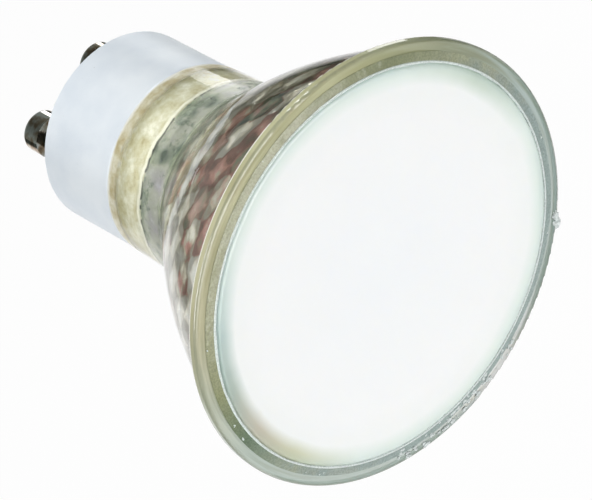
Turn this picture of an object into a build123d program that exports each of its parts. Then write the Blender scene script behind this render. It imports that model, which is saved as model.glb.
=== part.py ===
from build123d import *
import math
import os

# A mains-voltage halogen reflector lamp with a two-pin twist-and-lock base.
# Millimetres. The lamp's axis is Y: the front glass looks along -Y and the
# contact pins point along +Y. The origin is the centre of the ceramic base's
# seat, the flat back face that meets the lampholder. +Z is up.

# Pressed glass reflector
rim_diameter = 50.0
rim_thickness = 1.2
rim_edge_radius = 0.35
bowl_mouth_diameter = 47.2
bowl_depth = 22.6
bowl_waist_depth = 10.5
bowl_waist_diameter = 39.7
bowl_shoulder_depth = 20.2
bowl_shoulder_diameter = 27.0
neck_front_diameter = 23.3
neck_back_diameter = 22.4
neck_length = 10.0
neck_root_radius = 2.6
neck_bore_diameter = 16.6
spigot_diameter = 19.4
spigot_length = 6.0
throat_diameter = 11.0
web_thickness = 2.4

# Faceted inside of the bowl, which carries the mirror coat
facet_count = 30
facet_rings = 7
mirror_mouth_diameter = 43.4
mirror_depth = 24.4

# Opal front glass and its clear adhesive
front_glass_diameter = 45.2
front_glass_thickness = 1.7
front_glass_edge_radius = 0.6
front_glass_seat_depth = 1.2
adhesive_gap = 0.3
adhesive_spread = 0.9
adhesive_lip = 0.3

# Ceramic base cup
base_diameter = 22.2
base_length = 14.3
base_bevel = 3.0
base_lip_radius = 0.4
base_floor = 4.0
cup_bore_diameter = 19.8

# Contact pins
pin_spacing = 10.0
pin_length = 7.5
pin_head_diameter = 4.9
pin_head_length = 2.6
pin_head_round = 0.5
pin_neck_diameter = 3.1
pin_shank_diameter = 2.5
pin_flare_diameter = 4.2
pin_flare_thickness = 0.4
pin_bore_diameter = 1.0
pin_tip_wall = 2.0

# Quartz capsule with its press seal
capsule_diameter = 9.0
capsule_wall = 1.0
capsule_length = 13.0
capsule_front_round = 3.0
capsule_back_round = 1.6
seal_width = 8.4
seal_thickness = 2.8
seal_edge_radius = 0.6
seal_length = 12.0
seal_root = 1.2
exhaust_tip_diameter = 2.0
exhaust_tip_length = 1.2
exhaust_tip_taper = 22

# Filament, its leads and the seal foils
filament_length = 7.0
filament_coil_diameter = 1.3
filament_turns = 6
filament_wire_diameter = 0.36
filament_setback = 3.2
lead_diameter = 0.5
lead_spacing = 3.6
lead_bend = 0.6
long_lead_offset = 2.6
foil_width = 1.6
foil_thickness = 0.06
foil_length = 5.0
foil_lead_in = 2.6

# Outer leads, fuse wire and crimp sleeve
outer_lead_diameter = 0.6
outer_lead_bend = 1.6
outer_lead_straight = 1.6
pin_run_in = 0.8
fuse_wire_diameter = 0.3
sleeve_diameter = 1.3
sleeve_length = 1.8
sleeve_run_out = 0.6

# Cement plug in the neck: its air gap behind the web, and how far it stops inside the spigot
neck_air_gap = 2.2
neck_cement_setback = 2.6

# Clearances
joint_gap = 0.05
hole_gap = 0.06

# Places along the axis, measured from the seat
base_front = -base_length
neck_front = base_front - neck_length
rim_front = neck_front - bowl_depth
web_back = rim_front + mirror_depth + web_thickness
spigot_back = base_front + spigot_length
cup_floor = -base_floor
front_glass_back = rim_front + front_glass_seat_depth
neck_cement_front = web_back + neck_air_gap
neck_cement_back = spigot_back - neck_cement_setback
seal_back = neck_cement_back - outer_lead_straight
seal_front = seal_back - seal_length
capsule_front = seal_front - capsule_length
foil_front = seal_front + foil_lead_in
foil_back = foil_front + foil_length
filament_back = seal_front - filament_setback
filament_front = filament_back - filament_length
sleeve_front = neck_cement_back + joint_gap
sleeve_middle = sleeve_front + sleeve_length / 2
sleeve_back = sleeve_front + sleeve_length
pin_entry = cup_floor - pin_flare_thickness - pin_run_in
lead_tip = pin_length - pin_tip_wall - joint_gap
lead_x = lead_spacing / 2
pin_x = pin_spacing / 2


def ring_depth(ring):
    """Depth behind the rim of one ring of facet corners."""
    return front_glass_seat_depth + (mirror_depth - front_glass_seat_depth) * ring / facet_rings


def mirror_radius(depth):
    """Radius of the facet corners: a paraboloid from the mouth to the throat."""
    mouth = (mirror_mouth_diameter / 2) ** 2
    throat = (throat_diameter / 2) ** 2
    share = (depth - front_glass_seat_depth) / (mirror_depth - front_glass_seat_depth)
    return math.sqrt(mouth + (throat - mouth) * share)


def across(y):
    """Plane square to the lamp's axis, with local z along +Y and local x along X."""
    return Plane(origin=(0, y, 0), x_dir=(1, 0, 0), z_dir=(0, 1, 0))


os.makedirs("parts", exist_ok=True)

# Glass reflector: a turned outside with rim flange, bowl, neck and spigot
with BuildPart() as glass_reflector:
    with BuildSketch(Plane.XY) as reflector_outside:
        with BuildLine():
            mouth = (bowl_mouth_diameter / 2, rim_front + rim_thickness)
            waist = (bowl_waist_diameter / 2, rim_front + bowl_waist_depth)
            shoulder = (bowl_shoulder_diameter / 2, rim_front + bowl_shoulder_depth)
            neck_root = (neck_front_diameter / 2, neck_front)
            Polyline((0, rim_front), (rim_diameter / 2, rim_front),
                     (rim_diameter / 2, rim_front + rim_thickness), mouth)
            Spline(mouth, waist, shoulder, neck_root)
            Polyline(neck_root, (neck_back_diameter / 2, base_front - joint_gap),
                     (spigot_diameter / 2, base_front - joint_gap),
                     (spigot_diameter / 2, spigot_back), (0, spigot_back), (0, rim_front))
        make_face()
        root_corner = reflector_outside.vertices().sort_by_distance((*neck_root, 0))[0]
        fillet(root_corner, neck_root_radius)
        rim_corners = reflector_outside.vertices().filter_by_position(
            Axis.X, rim_diameter / 2 - joint_gap, rim_diameter / 2 + joint_gap)
        fillet(rim_corners, rim_edge_radius)
    revolve(axis=Axis.Y)
    # The mirror's flat facets, one ring after another down to the throat
    for ring in range(facet_rings):
        near, far = ring_depth(ring), ring_depth(ring + 1)
        with BuildSketch(across(rim_front + near)):
            RegularPolygon(mirror_radius(near), facet_count)
        with BuildSketch(across(rim_front + far)):
            RegularPolygon(mirror_radius(far), facet_count)
        loft(ruled=True, mode=Mode.SUBTRACT)
    # Seat of the front glass, throat and neck bore
    with BuildSketch(across(rim_front)):
        Circle(front_glass_diameter / 2 + adhesive_gap)
    extrude(amount=front_glass_seat_depth, mode=Mode.SUBTRACT)
    with BuildSketch(across(rim_front)):
        Circle(throat_diameter / 2)
    extrude(amount=spigot_back - rim_front, mode=Mode.SUBTRACT)
    with BuildSketch(across(web_back)):
        Circle(neck_bore_diameter / 2)
    extrude(amount=spigot_back - web_back, mode=Mode.SUBTRACT)
glass_reflector.part.label = "glass_reflector"
export_step(glass_reflector.part, "parts/glass_reflector.step")

# Front glass: an opal disc with a rounded edge, standing a little proud
with BuildPart() as front_glass:
    with BuildSketch(across(front_glass_back - joint_gap)):
        Circle(front_glass_diameter / 2)
    extrude(amount=-front_glass_thickness)
    fillet(front_glass.edges().sort_by(Axis.Y)[0], front_glass_edge_radius)
front_glass.part.label = "front_glass"
export_step(front_glass.part, "parts/front_glass.step")

# Rim adhesive: a clear bead in the groove, lapping a little over the rim
groove_inner = front_glass_diameter / 2 + joint_gap
groove_outer = front_glass_diameter / 2 + adhesive_gap - joint_gap
with BuildPart() as rim_adhesive:
    with BuildSketch(Plane.XY):
        with BuildLine():
            lip_front = rim_front - adhesive_lip
            Polyline((groove_inner, lip_front), (groove_inner, front_glass_back - joint_gap),
                     (groove_outer, front_glass_back - joint_gap),
                     (groove_outer, rim_front - joint_gap),
                     (groove_outer + adhesive_spread, rim_front - joint_gap))
            Line((groove_outer + adhesive_spread, rim_front - joint_gap), (groove_inner, lip_front))
        make_face()
    revolve(axis=Axis.Y)
rim_adhesive.part.label = "rim_adhesive"
export_step(rim_adhesive.part, "parts/rim_adhesive.step")

# Ceramic base: a cup with a bevelled back edge and two pin holes in its floor
with BuildPart() as ceramic_base:
    with BuildSketch(across(0)):
        Circle(base_diameter / 2)
    extrude(amount=-base_length)
    chamfer(ceramic_base.edges().sort_by(Axis.Y)[-1], base_bevel)
    with BuildSketch(across(cup_floor)):
        Circle(cup_bore_diameter / 2)
    extrude(amount=-(base_length - base_floor), mode=Mode.SUBTRACT)
    with BuildSketch(across(0)):
        with GridLocations(pin_spacing, 0, 2, 1):
            Circle(pin_shank_diameter / 2 + hole_gap)
    extrude(amount=-base_floor, mode=Mode.SUBTRACT)
    lip = ceramic_base.edges().filter_by(GeomType.CIRCLE).group_by(Axis.Y)[0].sort_by(SortBy.RADIUS)[-1]
    fillet(lip, base_lip_radius)
ceramic_base.part.label = "ceramic_base"
export_step(ceramic_base.part, "parts/ceramic_base.step")


def contact_pin(x):
    """Hollow pin with a locking head outside and a flare that rivets it inside."""
    neck_top = pin_length - pin_head_length
    bore_top = pin_length - pin_tip_wall
    with BuildPart() as pin:
        with BuildSketch(Plane(origin=(x, 0, 0))) as section:
            with BuildLine():
                Polyline((pin_bore_diameter / 2, cup_floor - pin_flare_thickness),
                         (pin_flare_diameter / 2, cup_floor - pin_flare_thickness),
                         (pin_flare_diameter / 2, cup_floor), (pin_shank_diameter / 2, cup_floor),
                         (pin_shank_diameter / 2, 0), (pin_neck_diameter / 2, 0),
                         (pin_neck_diameter / 2, neck_top), (pin_head_diameter / 2, neck_top),
                         (pin_head_diameter / 2, pin_length), (0, pin_length), (0, bore_top),
                         (pin_bore_diameter / 2, bore_top),
                         (pin_bore_diameter / 2, cup_floor - pin_flare_thickness))
            make_face()
            crown = section.vertices().sort_by_distance((pin_head_diameter / 2, pin_length, 0))[0]
            fillet(crown, pin_head_round)
        revolve(axis=Axis((x, 0, 0), (0, 1, 0)))
    return pin.part


contact_pin_left = contact_pin(-pin_x)
contact_pin_left.label = "contact_pin_left"
export_step(contact_pin_left, "parts/contact_pin_left.step")

contact_pin_right = contact_pin(pin_x)
contact_pin_right.label = "contact_pin_right"
export_step(contact_pin_right, "parts/contact_pin_right.step")


def wire(points, bend, diameter):
    """Round wire in the pins' plane, along straight runs joined by arcs."""
    with BuildPart() as rod:
        with BuildLine() as path:
            FilletPolyline(*points, radius=bend)
        with BuildSketch(Plane(origin=path.line @ 0, z_dir=path.line % 0)):
            Circle(diameter / 2)
        sweep()
    return rod.part


# Filament: a tungsten coil along the lamp's axis
with BuildPart() as filament:
    with BuildLine() as coil:
        Helix(filament_length / filament_turns, filament_length,
              (filament_coil_diameter - filament_wire_diameter) / 2,
              center=(0, filament_front, 0), direction=(0, 1, 0))
    with BuildSketch(Plane(origin=coil.line @ 0, z_dir=coil.line % 0)):
        Circle(filament_wire_diameter / 2)
    sweep(is_frenet=True)
filament.part.label = "filament"
export_step(filament.part, "parts/filament.step")
coil_front = coil.line @ 0
coil_back = coil.line @ 1

# Filament leads: a short one to the coil's back end, a long one past its side
short_lead = wire([(-lead_x, foil_front, 0), (-lead_x, seal_front - seal_root, 0), coil_back],
                  lead_bend, lead_diameter)
filament_lead_left = short_lead - filament.part
filament_lead_left.label = "filament_lead_left"
export_step(filament_lead_left, "parts/filament_lead_left.step")

long_lead = wire([(lead_x, foil_front, 0), (lead_x, seal_front - seal_root / 2, 0),
                  (long_lead_offset, seal_front - seal_root - lead_bend, 0),
                  (long_lead_offset, filament_front - lead_bend, 0), coil_front],
                 lead_bend, lead_diameter)
filament_lead_right = long_lead - filament.part
filament_lead_right.label = "filament_lead_right"
export_step(filament_lead_right, "parts/filament_lead_right.step")


def seal_foil(x):
    """Thin metal strip that carries the current through the press seal."""
    with BuildPart() as foil:
        with BuildSketch(across(foil_front)):
            with Locations((x, 0)):
                Rectangle(foil_width, foil_thickness)
        extrude(amount=foil_length)
    return foil.part


seal_foil_left = seal_foil(-lead_x)
seal_foil_left.label = "seal_foil_left"
export_step(seal_foil_left, "parts/seal_foil_left.step")

seal_foil_right = seal_foil(lead_x)
seal_foil_right.label = "seal_foil_right"
export_step(seal_foil_right, "parts/seal_foil_right.step")

# Outer leads: one runs from its foil to the pin, the other stops in the crimp sleeve
outer_lead_left = wire([(-lead_x, foil_back), (-lead_x, sleeve_back + sleeve_run_out),
                        (-pin_x, pin_entry), (-pin_x, lead_tip)],
                       outer_lead_bend, outer_lead_diameter)
outer_lead_left.label = "outer_lead_left"
export_step(outer_lead_left, "parts/outer_lead_left.step")

with BuildPart() as outer_lead_right:
    with BuildSketch(across(foil_back)):
        with Locations((lead_x, 0)):
            Circle(outer_lead_diameter / 2)
    extrude(amount=sleeve_middle - foil_back)
outer_lead_right.part.label = "outer_lead_right"
export_step(outer_lead_right.part, "parts/outer_lead_right.step")

# Fuse wire: thin, from the sleeve into the right-hand pin
fuse_wire = wire([(lead_x, sleeve_middle), (lead_x, sleeve_back + sleeve_run_out),
                  (pin_x, pin_entry), (pin_x, lead_tip)], outer_lead_bend, fuse_wire_diameter)
fuse_wire.label = "fuse_wire"
export_step(fuse_wire, "parts/fuse_wire.step")

# Crimp sleeve: joins the short outer lead to the fuse wire
with BuildPart() as crimp_sleeve:
    with BuildSketch(across(sleeve_front)):
        with Locations((lead_x, 0)):
            Circle(sleeve_diameter / 2)
    extrude(amount=sleeve_length)
    with BuildSketch(across(sleeve_front)):
        with Locations((lead_x, 0)):
            Circle(outer_lead_diameter / 2)
    extrude(amount=sleeve_length / 2, mode=Mode.SUBTRACT)
    with BuildSketch(across(sleeve_middle)):
        with Locations((lead_x, 0)):
            Circle(fuse_wire_diameter / 2)
    extrude(amount=sleeve_length / 2, mode=Mode.SUBTRACT)
crimp_sleeve.part.label = "crimp_sleeve"
export_step(crimp_sleeve.part, "parts/crimp_sleeve.step")

# Quartz capsule: a blown bulb pressed flat over the foils and lead ends
with BuildPart() as quartz_capsule:
    with BuildSketch(Plane.XY) as bulb_outside:
        with Locations((0, capsule_front)):
            Rectangle(capsule_diameter / 2, capsule_length + seal_root, align=(Align.MIN, Align.MIN))
        corners = bulb_outside.vertices().group_by(Axis.X)[-1].sort_by(Axis.Y)
        fillet(corners[0], capsule_front_round)
        corners = bulb_outside.vertices().group_by(Axis.X)[-1].sort_by(Axis.Y)
        fillet(corners[-1], capsule_back_round)
    revolve(axis=Axis.Y)
    with BuildSketch(across(capsule_front)):
        Circle(exhaust_tip_diameter / 2)
    extrude(amount=-exhaust_tip_length, taper=exhaust_tip_taper)
    with BuildSketch(across(seal_front)):
        RectangleRounded(seal_width, seal_thickness, seal_edge_radius)
    extrude(amount=seal_length)
    with BuildSketch(Plane.XY) as bulb_inside:
        with Locations((0, capsule_front + capsule_wall)):
            Rectangle(capsule_diameter / 2 - capsule_wall, capsule_length - 2 * capsule_wall,
                      align=(Align.MIN, Align.MIN))
        corners = bulb_inside.vertices().group_by(Axis.X)[-1].sort_by(Axis.Y)
        fillet(corners[0], capsule_front_round - capsule_wall)
    revolve(axis=Axis.Y, mode=Mode.SUBTRACT)
    add([short_lead, long_lead, seal_foil_left, seal_foil_right, outer_lead_left,
         outer_lead_right.part], mode=Mode.SUBTRACT)
quartz_capsule.part.label = "quartz_capsule"
export_step(quartz_capsule.part, "parts/quartz_capsule.step")

# Capsule cement: the plug that holds the press seal in the glass neck
with BuildPart() as capsule_cement:
    with BuildSketch(across(neck_cement_front)):
        Circle(neck_bore_diameter / 2 - joint_gap)
    extrude(amount=neck_cement_back - neck_cement_front)
    with BuildSketch(across(neck_cement_front)):
        RectangleRounded(seal_width + 2 * joint_gap, seal_thickness + 2 * joint_gap,
                         seal_edge_radius + joint_gap)
    extrude(amount=seal_back + joint_gap - neck_cement_front, mode=Mode.SUBTRACT)
    add([outer_lead_left, outer_lead_right.part], mode=Mode.SUBTRACT)
capsule_cement.part.label = "capsule_cement"
export_step(capsule_cement.part, "parts/capsule_cement.step")

# Base cement: fills the cup behind the plug and the joint round the glass spigot
with BuildPart() as base_cement:
    with BuildSketch(Plane.XY):
        with BuildLine():
            bore = neck_bore_diameter / 2 - joint_gap
            spigot = spigot_diameter / 2 + joint_gap
            cup = cup_bore_diameter / 2 - joint_gap
            Polyline((0, neck_cement_back + joint_gap), (bore, neck_cement_back + joint_gap),
                     (bore, spigot_back + joint_gap), (spigot, spigot_back + joint_gap),
                     (spigot, base_front), (cup, base_front), (cup, cup_floor - joint_gap),
                     (0, cup_floor - joint_gap), close=True)
        make_face()
    revolve(axis=Axis.Y)
    with BuildSketch(across(cup_floor)):
        with GridLocations(pin_spacing, 0, 2, 1):
            Circle(pin_flare_diameter / 2 + joint_gap)
    extrude(amount=-(pin_flare_thickness + joint_gap), mode=Mode.SUBTRACT)
    with BuildSketch(across(sleeve_front)):
        with Locations((lead_x, 0)):
            Circle(sleeve_diameter / 2 + joint_gap)
    extrude(amount=sleeve_length + joint_gap, mode=Mode.SUBTRACT)
    add([outer_lead_left, fuse_wire], mode=Mode.SUBTRACT)
base_cement.part.label = "base_cement"
export_step(base_cement.part, "parts/base_cement.step")
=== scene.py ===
"""Dresses a mains halogen reflector bulb and lights it for a catalogue picture.

Everything is in metres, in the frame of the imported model: the lamp's axis is Y, its front glass
looks along -Y, its contact pins point along +Y and stand on X, and +Z is up.
"""

import logging
import math
import random
from dataclasses import dataclass
from enum import Enum
from typing import Any

import bmesh
import bpy
from mathutils import Matrix, Vector, noise


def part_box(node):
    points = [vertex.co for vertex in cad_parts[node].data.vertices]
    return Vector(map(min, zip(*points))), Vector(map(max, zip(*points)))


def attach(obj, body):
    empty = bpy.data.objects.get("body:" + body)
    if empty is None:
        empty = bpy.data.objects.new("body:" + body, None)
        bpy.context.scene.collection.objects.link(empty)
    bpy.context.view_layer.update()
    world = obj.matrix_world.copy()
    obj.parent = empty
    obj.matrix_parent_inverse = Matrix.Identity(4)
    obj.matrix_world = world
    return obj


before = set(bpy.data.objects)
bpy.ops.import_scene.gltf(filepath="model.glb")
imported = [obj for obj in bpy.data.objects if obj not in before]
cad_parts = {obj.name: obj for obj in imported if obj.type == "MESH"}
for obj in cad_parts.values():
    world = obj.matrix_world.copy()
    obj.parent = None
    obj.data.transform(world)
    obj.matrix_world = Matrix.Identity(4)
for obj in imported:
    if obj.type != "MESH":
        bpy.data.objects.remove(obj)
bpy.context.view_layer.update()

MM = 0.001
BODY = "root"
IMAGE_WIDTH = 592
IMAGE_HEIGHT = 500
LOG = logging.getLogger("lamp")

Socket = bpy.types.NodeSocket
Stops = tuple[tuple[float, str], ...]
Layer = tuple[Socket, Socket]
Span = tuple[float, float]
Triple = tuple[float, float, float]

# Fronts and radii of the carried pieces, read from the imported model
RIM_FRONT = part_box("glass_reflector")[0][1]
RIM_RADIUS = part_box("glass_reflector")[1][0]
GLASS_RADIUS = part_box("front_glass")[1][0]
BEAD_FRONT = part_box("rim_adhesive")[0][1]
PLUG_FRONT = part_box("capsule_cement")[0][1]
PLUG_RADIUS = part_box("capsule_cement")[1][0]
BASE_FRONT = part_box("ceramic_base")[0][1]


class Side(Enum):
    """The two sides of the lamp's circuit, as the names of its pieces say them."""

    LEFT = "left"
    RIGHT = "right"


def linear(code: str) -> tuple[float, float, float, float]:
    """Turns an sRGB hex colour into the linear colour that shaders use.

    Args:
        code: The colour as "#RRGGBB".

    Returns:
        Linear red, green and blue with an alpha of 1.
    """
    parts = [int(code[i:i + 2], 16) / 255 for i in (1, 3, 5)]
    curve = [c / 12.92 if c <= 0.04045 else ((c + 0.055) / 1.055) ** 2.4 for c in parts]
    return (curve[0], curve[1], curve[2], 1.0)


def per(size_mm: float) -> float:
    """Gives the texture scale at which one blotch is this many millimetres wide."""
    return 1 / (size_mm * MM)


class Recipe:
    """A procedural material or world while it is put together."""

    def __init__(self, owner: bpy.types.Material | bpy.types.World) -> None:
        """Empties the owner's node tree.

        Args:
            owner: The material or world that gets the nodes.
        """
        owner.use_nodes = True
        self.owner = owner
        self.tree = owner.node_tree
        self.tree.nodes.clear()

    def add(self, kind: str, inputs: dict[str | int, Any] | None = None, out: str | int = 0,
            stops: Stops = (), **settings: Any) -> Socket:
        """Adds one node with its settings and its links.

        Args:
            kind: The node's type name without its leading "ShaderNode".
            inputs: For each input, by name or index, a value or the output that feeds it.
            out: Name or index of the output to return.
            stops: Position and sRGB hex colour of each stop of a colour ramp.
            **settings: Properties of the node.

        Returns:
            The asked output.
        """
        node = self.tree.nodes.new("ShaderNode" + kind)
        for key, value in settings.items():
            setattr(node, key, value)
        for key, value in (inputs or {}).items():
            if isinstance(value, Socket):
                self.tree.links.new(value, node.inputs[key])
            else:
                node.inputs[key].default_value = value
        for number, (position, code) in enumerate(stops):
            ramp = node.color_ramp.elements
            element = ramp[number] if number < len(ramp) else ramp.new(position)
            element.position = position
            element.color = linear(code)
        return node.outputs[out]

    def shade(self, amount: float | Socket, color: Socket, driver: Socket, stops: Stops) -> Socket:
        """Darkens a colour by tints that follow a pattern.

        Args:
            amount: How much of the tints shows.
            color: The colour to darken.
            driver: The pattern that the tints follow.
            stops: Position and sRGB hex colour of each tint.

        Returns:
            The darkened colour.
        """
        tint = self.add("ValToRGB", {0: driver}, stops=stops)
        return self.add("Mix", {0: amount, 6: color, 7: tint}, 2, data_type="RGBA",
                        blend_type="MULTIPLY")

    def finish(self, surface: Socket, volume: Socket | None = None) -> bpy.types.Material:
        """Feeds the finished shaders to the owner's output.

        Args:
            surface: The shader of the surface.
            volume: The shader of the inside, if it has one.

        Returns:
            The material or world.
        """
        world = isinstance(self.owner, bpy.types.World)
        output = self.tree.nodes.new("ShaderNodeOutput" + ("World" if world else "Material"))
        self.tree.links.new(surface, output.inputs["Surface"])
        if volume is not None:
            self.tree.links.new(volume, output.inputs["Volume"])
        return self.owner


def start(name: str) -> tuple[Recipe, Socket]:
    """Starts a material.

    Args:
        name: The real material and how its surface was made.

    Returns:
        The recipe, and the place on the object in metres.
    """
    recipe = Recipe(bpy.data.materials.new(name))
    return recipe, recipe.add("TexCoord", out="Object")


def share_of_turn(recipe: Recipe, place: Socket) -> Socket:
    """Adds the nodes that say how far round the lamp's axis a point lies.

    Args:
        recipe: The recipe that gets the nodes.
        place: The place on the object in metres.

    Returns:
        A share from 0 to 1: in the picture 0.15 is lowest, 0.35 to the left and 0.65 on top.
    """
    x, z = (recipe.add("SeparateXYZ", {0: place}, axis) for axis in "XZ")
    turn = recipe.add("Math", {0: x, 1: z}, operation="ARCTAN2")
    return recipe.add("MapRange", {"Value": turn, "From Min": -math.pi, "From Max": math.pi})


@dataclass(frozen=True)
class MirrorFacets:
    """Where the mirror's facets lie in the bowl: rings of flats down a paraboloid."""

    mouth_depth: float = 1.2 * MM
    throat_depth: float = 24.4 * MM
    mouth_radius: float = 21.7 * MM
    throat_radius: float = 5.5 * MM
    columns: int = 30
    rings: int = 7
    column_shift: float = 7.0
    corner_slack: float = 0.25 * MM
    end_slack: float = 0.001


@dataclass(frozen=True)
class GlassSpot:
    """Where a point of the reflector's glass lies and how uneven it is there, as node outputs.

    Attributes:
        place: The place on the object in metres.
        along: The place along the lamp's axis.
        radius: The distance from the axis.
        depth: The distance behind the rim's front.
        share: The share of the way down the mirror, past 1 behind its throat.
        side: How far round the axis the point lies, as a share of a turn.
        waves: The soft waves that fire polishing leaves, as a normal.
        blotch: The blotches of what lies on the glass.
        rough: The same as a normal.
        fray: The noise that frays the cement's edges.
        frayed: The place along the axis, frayed by it.
        shadow: 1 for the rays that ask whether a lamp's light gets through.
        seen_outside: 1 on the neck's outside for all other rays.
    """

    recipe: Recipe
    place: Socket
    along: Socket
    radius: Socket
    depth: Socket
    share: Socket
    side: Socket
    waves: Socket
    blotch: Socket
    rough: Socket
    fray: Socket
    frayed: Socket
    shadow: Socket
    seen_outside: Socket

    @classmethod
    def find(cls, recipe: Recipe, place: Socket, glass: "CoatedPressedGlass") -> "GlassSpot":
        """Adds the nodes that locate a point.

        Args:
            recipe: The recipe that gets the nodes.
            place: The place on the object in metres.
            glass: The finish that gives the sizes.

        Returns:
            The outputs.
        """
        add, shape = recipe.add, glass.facets
        x, along, z = (add("SeparateXYZ", {0: place}, axis) for axis in "XYZ")
        across = add("CombineXYZ", {0: x, 2: z})
        radius = add("VectorMath", {0: across}, "Value", operation="LENGTH")
        depth = add("Math", {0: along, 1: RIM_FRONT}, operation="SUBTRACT")
        share = add("MapRange", {
            "Value": depth, "From Min": shape.mouth_depth, "From Max": shape.throat_depth}, clamp=False)
        polish = add("TexNoise", {"Vector": place, "Scale": per(4.0), "Detail": 3.0})
        waves = add("Bump", {"Strength": 0.5, "Distance": 0.12 * MM, "Height": polish})
        blotch = add("TexNoise", {"Vector": place, "Scale": per(1.7), "Detail": 7.0, "Roughness": 0.68})
        rough = add("Bump", {"Strength": 0.9, "Distance": 0.2 * MM, "Height": blotch})
        fray = add("TexNoise", {"Vector": place, "Scale": per(2.2), "Detail": 3.0})
        frayed = add("Math", {0: fray, 1: glass.ragged_edge, 2: along}, operation="MULTIPLY_ADD")
        shadow = add("LightPath", out="Is Shadow Ray")
        outside = add("Math", {0: radius, 1: PLUG_RADIUS + glass.wall}, operation="GREATER_THAN")
        seen = add("Math", {0: 1.0, 1: shadow}, operation="SUBTRACT")
        seen_outside = add("Math", {0: outside, 1: seen}, operation="MULTIPLY")
        return cls(recipe, place, along, radius, depth, share, share_of_turn(recipe, place), waves,
                   blotch, rough, fray, frayed, shadow, seen_outside)


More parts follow.
